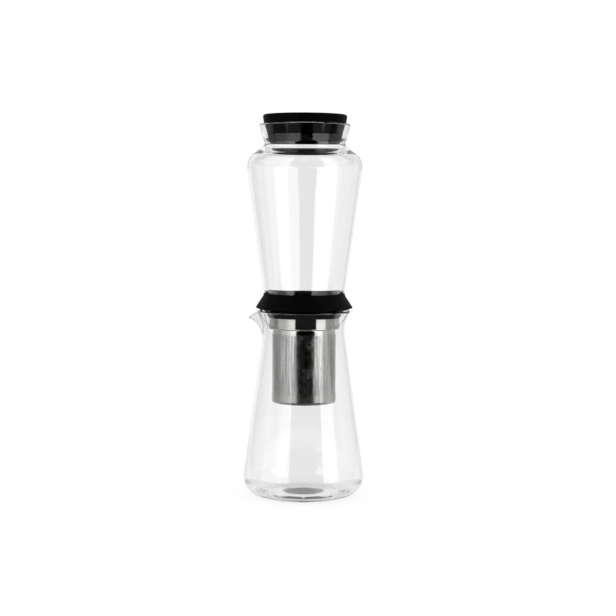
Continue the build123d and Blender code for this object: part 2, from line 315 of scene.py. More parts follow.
def calculate(tree: Tree, operation: str, *values: Socket | float) -> Socket:
    """Calculate with sockets and numbers."""
    return add_node(tree, "ShaderNodeMath", {"operation": operation}, dict(enumerate(values))).outputs[0]


def blended(tree: Tree, share: Socket, first: tuple | Socket, second: tuple | Socket) -> Socket:
    """Mix two colours: all of the first at a share of 0, all of the second at 1."""
    tones = {0: share, 6: first, 7: second}
    return add_node(tree, "ShaderNodeMix", {"data_type": "RGBA"}, tones).outputs[2]


def place_on(tree: Tree, stretch: float = 1.0) -> Socket:
    """Return the shaded point on the piece, in metres. Below one, a stretch draws patterns out."""
    place = add_node(tree, "ShaderNodeTexCoord").outputs["Object"]
    along = {"Vector": place, "Scale": (1, 1, stretch)}
    return place if stretch == 1 else add_node(tree, "ShaderNodeMapping", inputs=along).outputs[0]


class Finish(ABC):
    """A real material and how its surface was made."""

    name: str

    @abstractmethod
    def shade(self, tree: Tree) -> Node:
        """Build the shader in a tree and return its last node."""

    def material(self) -> bpy.types.Material:
        """Return the Blender material of this finish, made when it is first asked for."""
        made = bpy.data.materials.get(self.name)
        if made is None:
            made = bpy.data.materials.new(self.name)
            made.use_nodes = True
            made.node_tree.nodes.clear()
            shader = self.shade(made.node_tree)
            surface = {"Surface": shader.outputs[0]}
            add_node(made.node_tree, "ShaderNodeOutputMaterial", inputs=surface)
        return made


@dataclass(frozen=True)
class ClearMaterial(Finish):
    """A material that light goes through: by default blown, fire-polished borosilicate glass.

    The glass is almost colourless and mirror-smooth, with a long, shallow ripple that the blow
    draws along the axis.
    """

    name: str = "borosilicate_glass_blown"
    colour: str = "#FBFBFB"
    roughness: float = 0.0
    ior: float = 1.52
    mirror: float = 1.0
    clearness: float = 1.0
    ripple_spacing: float = 26.0
    ripple_depth: float = 0.02
    ripple_stretch: float = 0.35
    ripple_detail: float = 1.0

    def shade(self, tree: Tree) -> Node:
        """Build a clear or milky body with a rippled or grained surface."""
        place = place_on(tree, self.ripple_stretch)
        ripple = noise(tree, place, self.ripple_spacing, self.ripple_detail)
        surface = {
            "Base Color": linear(self.colour),
            "Roughness": self.roughness,
            "IOR": self.ior,
            "Specular IOR Level": self.mirror,
            "Transmission Weight": self.clearness,
            "Normal": relief(tree, ripple, self.ripple_depth),
        }
        return add_node(tree, "ShaderNodeBsdfPrincipled", inputs=surface)


@dataclass(frozen=True)
class MouldedBlack(Finish):
    """A black plastic or rubber moulding with a fine spark-eroded texture."""

    name: str
    colour: str
    worn_colour: str
    roughness: float
    gloss: float
    grain: float = 0.45
    grain_depth: float = 0.012
    cloud_spacing: float = 18.0
    cloud_gloss: float = 0.05

    def shade(self, tree: Tree) -> Node:
        """Build a dark surface with a fine grain and slow changes of tone and gloss."""
        place = place_on(tree)
        cloud = noise(tree, place, self.cloud_spacing, 3.0)
        glosses = (self.roughness - self.cloud_gloss, self.roughness + self.cloud_gloss)
        surface = {
            "Base Color": blended(tree, cloud, linear(self.colour), linear(self.worn_colour)),
            "Roughness": remap(tree, cloud, NOISE_SPAN, glosses),
            "Specular IOR Level": self.gloss,
            "Normal": relief(tree, noise(tree, place, self.grain, 2.0), self.grain_depth),
        }
        return add_node(tree, "ShaderNodeBsdfPrincipled", inputs=surface)


@dataclass(frozen=True)
class PolishedSteel(Finish):
    """Stainless steel, drawn and mirror-polished.

    The polish leaves a warm grey mirror, and the drawing leaves long faint waves down its side.
    """

    name: str = "stainless_steel_polished"
    colour: str = "#B5B5B1"
    roughness: float = 0.07
    wave_spacing: float = 9.0
    wave_depth: float = 0.02
    wave_stretch: float = 0.12
    wave_gloss: Span = (-0.02, 0.03)

    def shade(self, tree: Tree) -> Node:
        """Build a mirror whose waves run along the axis."""
        wave = noise(tree, place_on(tree, self.wave_stretch), self.wave_spacing, 2.0)
        glosses = tuple(self.roughness + change for change in self.wave_gloss)
        surface = {
            "Base Color": linear(self.colour),
            "Metallic": 1.0,
            "Roughness": remap(tree, wave, NOISE_SPAN, glosses),
            "Normal": relief(tree, wave, self.wave_depth),
        }
        return add_node(tree, "ShaderNodeBsdfPrincipled", inputs=surface)


class Lay(Enum):
    """How a sheet of mesh lies: rolled round the axis, or flat across it."""

    ROLLED = "rolled"
    FLAT = "flat"


@dataclass(frozen=True)
class EtchedMesh(Finish):
    """Stainless steel foil, etched through with fine rows of holes and electropolished.

    The metal between the holes stays bright, and rolling the foil leaves long streaks down it.
    The holes are drawn at twice their real spacing of 0.45 mm, so that they show. Their dark tone is
    painted shade, for the dim inside seen through them.
    """

    lay: Lay = Lay.ROLLED
    colour: str = "#BEBEBB"
    dull_colour: str = "#8E8E8C"
    # painted shade: the holes' dark tone stands for the dim inside seen through them
    hole_shade_colour: str = "#2C2C2B"
    spacing: float = 0.9
    radius: float = 31.7
    hole_share: float = 0.3
    roughness: Span = (0.1, 0.3)
    blotch_spacing: float = 9.0
    streak_spacing: float = 5.0
    streak_depth: float = 0.08
    streak_stretch: float = 0.04
    scratch_spacing: float = 2.0
    scratch_span: Span = (0.38, 0.62)
    blotch_span: Span = (0.25, 0.75)
    hole_edge: float = 0.4

    @property
    def name(self) -> str:
        """Name the finish by how it lies."""
        return f"stainless_steel_etched_mesh_{self.lay.value}"

    def rows(self, tree: Tree, place: Socket) -> Socket:
        """Lay the holes out in rows, and return how much of each point is metal.

        On a rolled sheet the two directions are the angle round the axis and the height, on a
        flat one they are X and Y. The sum of a cosine along each is 2 at a hole's middle.
        """
        axes = add_node(tree, "ShaderNodeSeparateXYZ", inputs={0: place}).outputs
        per_metre = FULL_TURN / (self.spacing * MM)
        across, across_scale, along = axes[0], per_metre, axes[1]
        if self.lay is Lay.ROLLED:
            across = calculate(tree, "ARCTAN2", axes[1], axes[0])
            across_scale, along = float(round(FULL_TURN * self.radius / self.spacing)), axes[2]
        directions = ((across, across_scale), (along, per_metre))
        waves = [calculate(tree, "COSINE", calculate(tree, "MULTIPLY", *way)) for way in directions]
        edge = (2 - 4 * self.hole_share, 2 + self.hole_edge - 4 * self.hole_share)
        return remap(tree, calculate(tree, "ADD", *waves), edge, (1.0, 0.0))

    def shade(self, tree: Tree) -> Node:
        """Build bright metal with holes painted dark as painted shade, long streaks and scratches, and
        cloudy patches.
        """
        place, drawn = place_on(tree), place_on(tree, self.streak_stretch)
        streak = noise(tree, drawn, self.streak_spacing, 3.0)
        scratch = noise(tree, drawn, self.scratch_spacing, 2.0)
        patch = noise(tree, place, self.blotch_spacing, 1.0)
        brightness = remap(tree, scratch, self.scratch_span)
        face = blended(tree, brightness, linear(self.dull_colour), linear(self.colour))
        surface = {
            # the hole pattern is real; its dark tone is painted shade for the inside seen through the
            # holes
            "Base Color": blended(tree, self.rows(tree, place), linear(self.hole_shade_colour), face),
            "Metallic": 1.0,
            "Roughness": remap(tree, patch, self.blotch_span, self.roughness),
            "Normal": relief(tree, streak, self.streak_depth),
        }
        return add_node(tree, "ShaderNodeBsdfPrincipled", inputs=surface)


GLASS = ClearMaterial()
PLASTIC = MouldedBlack("polypropylene_moulded_matt_black", "#020202", "#050505", 0.55, 0.035)
RUBBER = MouldedBlack("silicone_moulded_black", "#030303", "#060606", 0.62, 0.02, 0.8, 0.006)
# moulded silicone: milky, soft and half see-through, with a fine grain
CLEAR_RUBBER = ClearMaterial(
    "silicone_moulded_clear", "#E6EAE9", 0.4, 1.41, 0.5, 0.5, 1.2, 0.01, 1.0, 2.0
)
STEEL = PolishedSteel()
SATIN_STEEL = PolishedSteel("stainless_steel_satin", "#A2A29F", 0.2, 4.0, 0.05, 0.05)
ROLLED_MESH = EtchedMesh(Lay.ROLLED)
FLAT_MESH = EtchedMesh(Lay.FLAT)


def dress(piece: Piece, finish: Finish) -> Piece:
    """Give a piece or a CAD node its finish."""
    piece.data.materials.clear()
    piece.data.materials.append(finish.material())
    return piece


def stand_for(piece: Piece, node: str, finish: Finish) -> Piece:
    """Let a new piece take a CAD node's place: its body and its finish."""
    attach(piece, body_of(node))
    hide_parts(node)
    return dress(piece, finish)


# ---- sub-assemblies


@dataclass
class Decanter:
    """The lower glass: a cone with a rounded heel, a flared mouth and a pulled spout."""

    size: NodeSize = measured("decanter")
    wall: float = 2.2
    lip_wall: float = 1.6
    heel: float = 20.0
    floor: float = 4.0
    push_up: float = 3.0
    foot_ring_inner: float = 33.0
    foot_ring_rounding: float = 1.5
    ramp: float = 3.0
    ramp_share: float = 0.15
    ramp_rounding: float = 5.0
    floor_blend: float = 2.5
    floor_steps: int = 24
    arc_steps: tuple[int, int] = (32, 36)
    neck_r: float = 40.4
    neck_below_rim: float = 20.0
    flare: float = 35.2
    spout_half_angle: float = 15.0
    spout_start_below_rim: float = 34.0
    spout_bend: tuple[tuple[float, float], ...] = ((40.0, 20.6), (44.6, 11.4), (54.4, 7.7))
    columns: int = 288
    packing: float = 0.6

    def turns(self) -> Array:
        """Return the columns' angles from +X, packed closer together round the spout at -X."""
        even = np.linspace(-np.pi, np.pi, self.columns, endpoint=False)
        return np.pi + even - self.packing * np.sin(even)

    def side(self) -> tuple[Array, Array]:
        """Draw the plain outer side, from the heel's foot to the rim.

        The straight run is the common tangent of the heel arc, inside it, and the flare arc,
        outside it.

        Returns:
            The lower part, up to where the spout starts, and the upper part.
        """
        neck_z = self.size.top - self.neck_below_rim
        heel_centre = np.array((self.size.radius - self.heel, self.heel))
        flare_centre = np.array((self.neck_r + self.flare, neck_z))
        run, rise = flare_centre - heel_centre
        lean = np.arctan2(rise, run) - np.arccos((self.heel + self.flare) / np.hypot(run, rise))
        crest = np.arcsin((self.neck_below_rim - self.wall / 2) / self.flare)
        heel_turn = np.linspace(-np.pi / 2, lean, self.arc_steps[0])
        flare_turn = np.linspace(np.pi + lean, np.pi - crest, self.arc_steps[1])
        heel_arc = heel_centre + self.heel * direction(heel_turn)
        flare_arc = flare_centre + self.flare * direction(flare_turn)
        split_z = self.size.top - self.spout_start_below_rim
        share = (split_z - heel_arc[-1, 1]) / (flare_arc[0, 1] - heel_arc[-1, 1])
        split = heel_arc[-1] + (flare_arc[0] - heel_arc[-1]) * share
        lower = [heel_arc, run_points(heel_arc[-1], split, step=6.0, support=0.5), split[None]]
        upper = [run_points(split, flare_arc[0], step=2.0, support=0.5), flare_arc]
        return np.concatenate(lower), np.concatenate(upper)

    def spout_line(self, start: Array, count: int) -> Array:
        """Draw the spout's underside along its middle, a cubic Bezier curve from start to the lip."""
        t = np.linspace(0, 1, count + 1)[1:, None]
        bend = np.array([(r, self.size.top - below) for r, below in self.spout_bend])
        ends = (1 - t) ** 3 * start + t**3 * bend[2]
        return ends + 3 * (1 - t) ** 2 * t * bend[0] + 3 * (1 - t) * t**2 * bend[1]

    def inner_floor(self, r: Array) -> Array:
        """Return the height of the floor's upper face, a shallow dome, at each radius."""
        middle = self.floor + self.push_up
        edge_r = self.size.radius - self.heel
        return middle - self.push_up * (r / edge_r) ** 2

    def grid(self) -> Array:
        """Carry the profile round the axis, leaning it out to the spout line at the spout.

        Round the axis the plain profile P turns into the spout line S by P + w (S - P), where w
        is the squared cosine of the angle from -X, scaled to end at the spout's half angle. The
        inner surface is the outer one moved along its normals by the wall, and half circles join
        the two at the rim.

        Returns:
            The whole surface, from the middle of the underside to the middle of the floor.
        """
        lower, upper = self.side()
        angles = self.turns()
        phase = np.clip(np.abs(angles - np.pi) / np.radians(self.spout_half_angle), 0, 1)
        pull = np.cos(phase * np.pi / 2) ** 2
        plain = np.concatenate([lower, upper])
        lean_out = np.concatenate([0 * lower, self.spout_line(lower[-1], len(upper)) - upper])
        outer = carry(plain[:, None] + lean_out[:, None] * pull[:, None], angles)
        share = np.concatenate([np.zeros(len(lower)), np.linspace(0, 1, len(upper))])
        thinning = share[:, None] * pull
        wall = (self.wall + (self.lip_wall - self.wall) * thinning)[..., None]
        inner = outer - wall * grid_normals(outer)
        rim = half_circle(outer[-1], inner[-1], unit(outer[-1] - outer[-2]), count=10)
        return np.concatenate([self.underside(angles), outer, rim, self.floor_rows(inner, angles)])

    def floor_rows(self, inner: Array, angles: Array) -> Array:
        """Return the inner surface from the rim down, with the floor blended into the heel."""
        rows = inner[::-1].copy()
        r = np.linalg.norm(rows[..., :2], axis=-1)
        blend = smooth_max(rows[..., 2], self.inner_floor(r), self.floor_blend)
        rows[..., 2] = np.where(rows[..., 2] < self.heel, blend, rows[..., 2])
        floor_r = np.linspace(r[-1, 0], 0, self.floor_steps)[1:]
        hidden = np.full_like(floor_r, self.wall)
        floor_z = smooth_max(self.inner_floor(floor_r), hidden, self.floor_blend)
        return np.concatenate([rows, swept(np.stack([floor_r, floor_z], axis=-1), angles)])

    def underside(self, angles: Array) -> Array:
        """Draw the pushed-up bottom and the ring that the glass stands on."""
        corners = [
            Corner(0, self.push_up),
            Corner(self.foot_ring_inner - self.ramp, self.push_up * self.ramp_share, self.ramp_rounding),
            Corner(self.foot_ring_inner, 0, self.foot_ring_rounding),
            Corner(self.size.radius - self.heel, 0),
        ]
        return swept(outline(corners, step=3.0)[:-1], angles)

    def build(self) -> list[Piece]:
        """Build the decanter's one piece."""
        return [stand_for(skin("decanter_glass", self.grid()), "decanter", GLASS)]


@dataclass
class WaterVessel:
    """The upper glass, with a tapered body, a round shoulder and a flared neck, and its seal."""

    size: NodeSize = measured("water_vessel")
    grommet: NodeSize = measured("outlet_grommet")
    wall: float = 2.0
    outlet_r: float = 9.0
    foot_r: float = 31.0
    waist_r: float = 40.6
    waist_height: float = 22.2
    shoulder_below_rim: float = 34.8
    throat_r: float = 39.4
    throat_below_rim: float = 20.4
    neck_r: float = 42.8
    neck_below_rim: float = 10.3
    rim_r: float = 44.9
    shoulder_r: float = 58.0
    thick_wall: float = 2.4
    inner_throat_r: float = 37.4
    inner_throat_below_rim: float = 23.0
    inner_foot_inset: float = 2.6
    inner_waist_below: float = 1.7
    inner_shoulder_below: float = 0.9
    inner_neck_above: float = 0.3
    bore_r: float = 5.05

    def outside(self) -> Array:
        """Draw the outer outline, from the hole in the bottom up to the rim."""
        top, bottom = self.size.top, self.size.bottom
        corners = [
            Corner(self.outlet_r + self.wall / 2, bottom),
            Corner(self.foot_r, bottom, 6.0),
            Corner(self.waist_r, bottom + self.waist_height, 4.0),
            Corner(self.shoulder_r, top - self.shoulder_below_rim, 16.0),
            Corner(self.throat_r, top - self.throat_below_rim, 4.0),
            Corner(self.neck_r, top - self.neck_below_rim, 14.0),
            Corner(self.rim_r, top - self.wall / 2),
        ]
        return outline(corners, turn_step=3.0)

    def inside(self) -> Array:
        """Draw the inner outline, softer than the outer one: the glass is thickest at the throat."""
        top, floor = self.size.top, self.size.bottom + self.wall
        shoulder_z, neck_z = top - self.shoulder_below_rim, top - self.neck_below_rim
        corners = [
            Corner(self.outlet_r + self.wall / 2, floor),
            Corner(self.foot_r - self.inner_foot_inset, floor, 4.0),
            Corner(self.waist_r - self.wall, floor + self.waist_height - self.inner_waist_below, 4.0),
            Corner(self.shoulder_r - self.thick_wall, shoulder_z - self.inner_shoulder_below, 14.0),
            Corner(self.inner_throat_r, top - self.inner_throat_below_rim, 9.0),
            Corner(self.neck_r - self.thick_wall, neck_z + self.inner_neck_above, 12.0),
            Corner(self.rim_r - self.wall, top - self.wall / 2),
        ]
        return outline(corners, turn_step=3.0)

    def glass(self) -> Piece:
        """Blow the vessel: two outlines, joined by half circles at the rim and round the hole."""
        outer, inner = self.outside(), self.inside()
        rim = half_circle(outer[-1], inner[-1], unit(outer[-1] - outer[-2]))
        hole = half_circle(inner[0], outer[0], unit(outer[0] - outer[1]))
        return turned("water_vessel_glass", np.concatenate([outer, rim, inner[::-1], hole]), ring=True)

    def seal(self) -> Piece:
        """Mould the grommet: a flange on each side of the glass, joined through its hole."""
        top, bottom = self.grommet.top, self.grommet.bottom
        floor = self.size.bottom
        corners = [
            Corner(self.bore_r, bottom, 0.4),
            Corner(self.grommet.radius, bottom, 0.5),
            Corner(self.grommet.radius, floor, 0.3),
            Corner(self.outlet_r, floor, 0.2),
            Corner(self.outlet_r, floor + self.wall, 0.2),
            Corner(self.grommet.radius, floor + self.wall, 0.3),
            Corner(self.grommet.radius, top, 0.5),
            Corner(self.bore_r, top, 0.4),
        ]
        return turned_ring("outlet_grommet_seal", corners, columns=96)

    def build(self) -> list[Piece]:
        """Build the vessel and the seal in its bottom."""
        glass = stand_for(self.glass(), "water_vessel", GLASS)
        return [glass, stand_for(self.seal(), "outlet_grommet", CLEAR_RUBBER)]


@dataclass
class Collar:
    """The black joint between the glasses, with its gaskets and its guide ribs."""

    size: NodeSize = measured("collar")
    vessel: NodeSize = measured("water_vessel")
    decanter: NodeSize = measured("decanter")
    band: NodeSize = measured("strainer_rim_band")
    seat: NodeSize = measured("vessel_seat_gasket")
    gasket: NodeSize = measured("strainer_gasket")
    slip: float = 0.3
    lip: float = 1.1
    edge_height: float = 2.4
    edge_flare: float = 0.4
    skirt_rise: float = 3.2
    skirt_tip: float = 0.8
    plug_r: float = 39.4
    spigot_r: float = 34.5
    spigot_wall: float = 3.0
    groove_r: float = 33.3
    floor_bottom: float = 179.7
    outlet_r: float = 16.0
    seat_inner_r: float = 19.0
    ribs: int = 4
    rib_width: float = 3.0
    rib_depth: float = 5.0
    rib_root: float = 1.0
    rib_gap: float = 0.2
    rib_middle: Span = (5.0, 1.2)
    rib_rounding: float = 0.3
    rib_drawn_in: float = 0.08
    mouth: Span = (41.1, 43.3)
    rim_r: float = 45.9

    def socket_r(self, z: float) -> float:
        """Inner radius of the socket, which follows the vessel's foot at a small gap."""
        slope = (WaterVessel.waist_r - WaterVessel.foot_r) / WaterVessel.waist_height
        return WaterVessel.foot_r + slope * (z - self.vessel.bottom) + self.slip

    def moulding(self) -> Piece:
        """Mould the collar: socket above, skirt and tapered plug outside, spigot below."""
        top, rim = self.size.top, self.decanter.top
        top_r, inner_r = self.socket_r(top) + self.lip, self.spigot_r - self.spigot_wall
        bottom, seat_z = self.size.bottom, self.seat.bottom
        corners = [
            Corner(inner_r, bottom, 0.4),
            Corner(self.spigot_r, bottom, 0.5),
            Corner(self.spigot_r, self.gasket.bottom, 0.15),
            Corner(self.groove_r, self.gasket.bottom, 0.15),
            Corner(self.groove_r, self.gasket.top, 0.15),
            Corner(self.spigot_r, self.gasket.top, 0.15),
            Corner(self.spigot_r, self.band.top, 0.1),
            Corner(self.band.radius, self.band.top, 0.3),
            Corner(self.plug_r, rim, 0.8),
            Corner(self.size.radius, rim + self.skirt_rise, 0.35),
            Corner(self.size.radius, rim + self.skirt_rise + self.skirt_tip, 0.35),
            Corner(top_r + self.edge_flare, top - self.edge_height, 1.2),
            Corner(top_r, top, 0.4),
            Corner(self.socket_r(top), top, 0.4),
            Corner(self.socket_r(seat_z), seat_z, 0.8),
            Corner(self.outlet_r, seat_z, 0.4),
            Corner(self.outlet_r, self.floor_bottom, 0.4),
            Corner(inner_r, self.floor_bottom, 0.8),
        ]
        return turned_ring("collar_moulding", corners, step=3.0)

    def washer(self, name: str, size: NodeSize, inner_r: float) -> Piece:
        """Mould a flat rubber ring with softened edges."""
        corners = [
            Corner(inner_r, size.bottom, 0.4),
            Corner(size.radius, size.bottom, 0.4),
            Corner(size.radius, size.top, 0.4),
            Corner(inner_r, size.top, 0.4),
        ]
        return turned_ring(name, corners)

    def guide_rib(self, index: int) -> Piece:
        """Mould one guide rib, which centres the collar in the mouth and rests on the rim.

        Its outline in the plane of radius and height is spread across its width. Each row is the
        outline at one distance across, drawn in towards the middle by the rounding at both faces.

        Args:
            index: Number of the rib, counted round from +X.

        Returns:
            The rib, fixed to the collar.
        """
        rim = self.decanter.top
        low_r, high_r = self.mouth
        root_r = self.band.radius - self.rib_root
        low, high = rim + self.rib_gap, rim + self.skirt_rise - self.rib_gap
        corners = [
            Corner(root_r, rim - self.rib_depth, 0.4),
            Corner(low_r, rim - self.rib_depth, 0.8),
            Corner(high_r, low, 0.3),
            Corner(self.rim_r, low, 0.5),
            Corner(self.rim_r, high, 0.3),
            Corner(root_r, high, 0.3),
        ]
        edge = outline(corners, closed=True, step=0.8)
        middle = np.array((root_r, rim)) + self.rib_middle
        turn = np.linspace(0, np.pi / 2, 5)
        drawn_in = 1 - self.rib_drawn_in * (1 - np.sin(turn))
        across = self.rib_width / 2 - self.rib_rounding * (1 - np.cos(turn))
        shares = np.concatenate([[0], drawn_in, drawn_in[::-1], [0]])
        places = np.concatenate([across[:1], across, -across[::-1], -across[:1]])
        section = middle + shares[:, None, None] * (edge - middle)
        angle = FULL_TURN * (index + 0.5) / self.ribs
        out, side = direction(np.array(angle)), direction(np.array(angle + np.pi / 2))
        flat = section[..., :1] * out + places[:, None, None] * side
        grid = np.concatenate([flat, section[..., 1:]], axis=-1)
        rib = skin(f"collar_guide_rib_{index + 1}", grid)
        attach(rib, body_of("collar"))
        return dress(rib, PLASTIC)

    def build(self) -> list[Piece]:
        """Build the collar, its guide ribs and its two gaskets."""
        seat = self.washer("vessel_seat_gasket_ring", self.seat, self.seat_inner_r)
        gasket = self.washer("strainer_gasket_ring", self.gasket, self.groove_r)
        return [
            stand_for(self.moulding(), "collar", PLASTIC),
            stand_for(seat, "vessel_seat_gasket", RUBBER),
            stand_for(gasket, "strainer_gasket", RUBBER),
            *(self.guide_rib(index) for index in range(self.ribs)),
        ]


@dataclass
class Strainer:
    """The steel strainer: rim band, etched wall, base ring, mesh floor and shower plate."""

    band: NodeSize = measured("strainer_rim_band")
    wall: NodeSize = measured("strainer_wall")
    ring: NodeSize = measured("strainer_base_ring")
    sheet: float = 0.8
    foil: float = 0.4
    ledge_below_top: float = 11.0
    ledge_turn: float = 0.6
    sleeve_shown: float = 5.0
    ring_flange: float = 3.6
    ring_turn: float = 2.0
    ring_sheet: float = 0.6

    def rim_band(self) -> Piece:
        """Draw the band: a wide cylinder, a ledge, and the sleeve inside the wall."""
        ledge = self.band.top - self.ledge_below_top
        sleeve_r = self.wall.radius - self.foil
        corners = [
            Corner(sleeve_r - self.sheet, self.band.bottom, 0.2),
            Corner(sleeve_r, self.band.bottom, 0.2),
            Corner(sleeve_r, ledge - self.sheet, 0.2),
            Corner(self.band.radius, ledge - self.sheet, self.ledge_turn + self.sheet),
            Corner(self.band.radius, self.band.top, 0.3),
            Corner(self.band.radius - self.sheet, self.band.top, 0.3),
            Corner(self.band.radius - self.sheet, ledge, self.ledge_turn),
            Corner(sleeve_r - self.sheet, ledge, 0.6),
        ]
        return turned_ring("strainer_rim_band_steel", corners, step=1.5)

    def mesh_wall(self) -> Piece:
        """Roll the wall's foil into a cylinder."""
        inner_r = self.wall.radius - self.foil
        corners = [
            Corner(inner_r, self.wall.bottom + self.ring_turn, 0.05),
            Corner(self.wall.radius, self.wall.bottom + self.ring_turn, 0.05),
            Corner(self.wall.radius, self.wall.top - self.sleeve_shown, 0.1),
            Corner(inner_r, self.wall.top - self.sleeve_shown, 0.05),
        ]
        return turned_ring("strainer_wall_mesh", corners)

    def base_ring(self) -> Piece:
        """Press the base ring: a low cylinder round the wall's foot with a flange below it."""
        flange_r = self.wall.radius - self.ring_flange
        corners = [
            Corner(flange_r, self.ring.bottom, 0.2),
            Corner(self.ring.radius, self.ring.bottom, self.ring_turn + self.ring_sheet),
            Corner(self.ring.radius, self.ring.top, 0.1),
            Corner(self.wall.radius, self.ring.top, 0.05),
            Corner(self.wall.radius, self.wall.bottom, self.ring_turn),
            Corner(flange_r, self.wall.bottom, 0.2),
        ]
        return turned_ring("strainer_base_ring_steel", corners, step=2.0)

    def build(self) -> list[Piece]:
        """Build the pieces that show, and dress the plate and the mesh floor inside."""
        return [
            stand_for(self.rim_band(), "strainer_rim_band", STEEL),
            stand_for(self.mesh_wall(), "strainer_wall", ROLLED_MESH),
            stand_for(self.base_ring(), "strainer_base_ring", SATIN_STEEL),
            dress(frame["nodes"]["strainer_mesh_disc"], FLAT_MESH),
            dress(frame["nodes"]["shower_plate"], STEEL),
        ]


@dataclass
class DripValve:
    """The valve in the vessel's bottom: body, orifice and screen."""

    size: NodeSize = measured("valve_body")
    screen: NodeSize = measured("valve_screen")
    orifice: NodeSize = measured("valve_orifice")
    grommet: NodeSize = measured("outlet_grommet")
    stem_r: float = 5.0
    cup_r: float = 6.6
    seat: float = 0.8
    flange_height: float = 2.0

    def body(self) -> Piece:
        """Mould the valve: a stem through the grommet, a flange on it and a cup on top."""
        flange_bottom = self.grommet.top
        flange_top = flange_bottom + self.flange_height
        corners = [
            Corner(self.orifice.radius, self.size.bottom, 0.3),
            Corner(self.stem_r, self.size.bottom, 0.6),
            Corner(self.stem_r, flange_bottom, 0.2),
            Corner(self.size.radius, flange_bottom, 0.4),
            Corner(self.size.radius, flange_top, 0.6),
            Corner(self.cup_r, flange_top, 0.5),
            Corner(self.cup_r, self.size.top, 0.3),
            Corner(self.screen.radius, self.size.top, 0.2),
            Corner(self.screen.radius, self.screen.bottom, 0.1),
            Corner(self.screen.radius - self.seat, self.screen.bottom, 0.1),
            Corner(self.screen.radius - self.seat, flange_top, 0.4),
            Corner(self.orifice.radius, flange_top, 0.3),
        ]
        return turned_ring("valve_body_moulding", corners, columns=96)

    def build(self) -> list[Piece]:
        """Build the body, and dress the orifice and the screen in it."""
        return [
            stand_for(self.body(), "valve_body", PLASTIC),
            dress(frame["nodes"]["valve_orifice"], STEEL),
            dress(frame["nodes"]["valve_screen"], FLAT_MESH),
        ]


@dataclass
class Lid:
    """The lid: a hard cap with a core, and the soft stopper round the core."""

    cap: NodeSize = measured("lid_cap")
    stopper: NodeSize = measured("lid_stopper")
    dome: float = 0.5
    taper: float = 1.4
    edge: float = 2.2
    core_r: float = 32.4
    core_wall: float = 2.4
    floor: float = 2.0
    stopper_bottom_r: float = 33.4
    stopper_top_r: float = 40.2
    rib_above_bottom: float = 8.4
    rib_root: float = 2.4
    rib_edge: float = 1.0
    air_notch: float = 4.0
    notch_edge: float = 0.4
    columns: int = 384

    def hard_cap(self) -> Piece:
        """Mould the cap: a thick disc, barely domed, with the core's tube under it."""
        low = self.stopper.top
        core_bottom = self.stopper.bottom + self.floor
        corners = [
            Corner(0, low),
            Corner(self.core_r - self.core_wall, low, 0.5),
            Corner(self.core_r - self.core_wall, core_bottom, 0.2),
            Corner(self.core_r, core_bottom, 0.2),
            Corner(self.core_r, low, 0.2),
            Corner(self.cap.radius - self.taper, low, 0.5),
            Corner(self.cap.radius, self.cap.top - self.dome, self.edge),
            Corner(0, self.cap.top),
        ]
        return turned("lid_cap_moulding", outline(corners, step=3.0))

    def soft_stopper(self) -> Piece:
        """Mould the stopper: a tapered cup with one sealing rib round it.

        The rib is pressed back to the cone at +Y, where a notch lets air into the vessel.
        """
        low, high = self.stopper.bottom, self.stopper.top
        rib_z = low + self.rib_above_bottom
        taper = (self.stopper_top_r - self.stopper_bottom_r) / (high - low)
        root_low, root_high = rib_z - self.rib_root / 2, rib_z + self.rib_root / 2
        corners = [
            Corner(0, low),
            Corner(self.stopper_bottom_r, low, 1.0),
            Corner(self.stopper_bottom_r + taper * (root_low - low), root_low, 0.3),
            Corner(self.stopper.radius, rib_z - self.rib_edge / 2, 0.3),
            Corner(self.stopper.radius, rib_z + self.rib_edge / 2, 0.3),
            Corner(self.stopper_bottom_r + taper * (root_high - low), root_high, 0.3),
            Corner(self.stopper_top_r, high, 0.3),
            Corner(self.core_r, high, 0.1),
            Corner(self.core_r, low + self.floor, 0.1),
            Corner(0, low + self.floor),
        ]
        profile = outline(corners, step=3.0)
        angles = np.linspace(0, FULL_TURN, self.columns, endpoint=False)
        cone_r = self.stopper_bottom_r + taper * (profile[:, 1] - low)
        standing_out = np.clip(profile[:, 0] - cone_r, 0, None)
        from_back = np.abs(angles - np.pi / 2) * self.stopper.radius
        pressed = np.clip((self.air_notch / 2 - from_back) / self.notch_edge + 0.5, 0, 1)
        rows = profile[:, None] + 0 * angles[:, None]
        rows[..., 0] -= standing_out[:, None] * pressed
        return skin("lid_stopper_moulding", carry(rows, angles))

    def build(self) -> list[Piece]:
        """Build the cap and the stopper."""
        cap = stand_for(self.hard_cap(), "lid_cap", PLASTIC)
        return [cap, stand_for(self.soft_stopper(), "lid_stopper", RUBBER)]


# ---- studio


@dataclass(frozen=True)
class Panel:
    """A light panel round the table, from one azimuth to another, in degrees right of the camera."""

    start: float
    end: float
    level: float


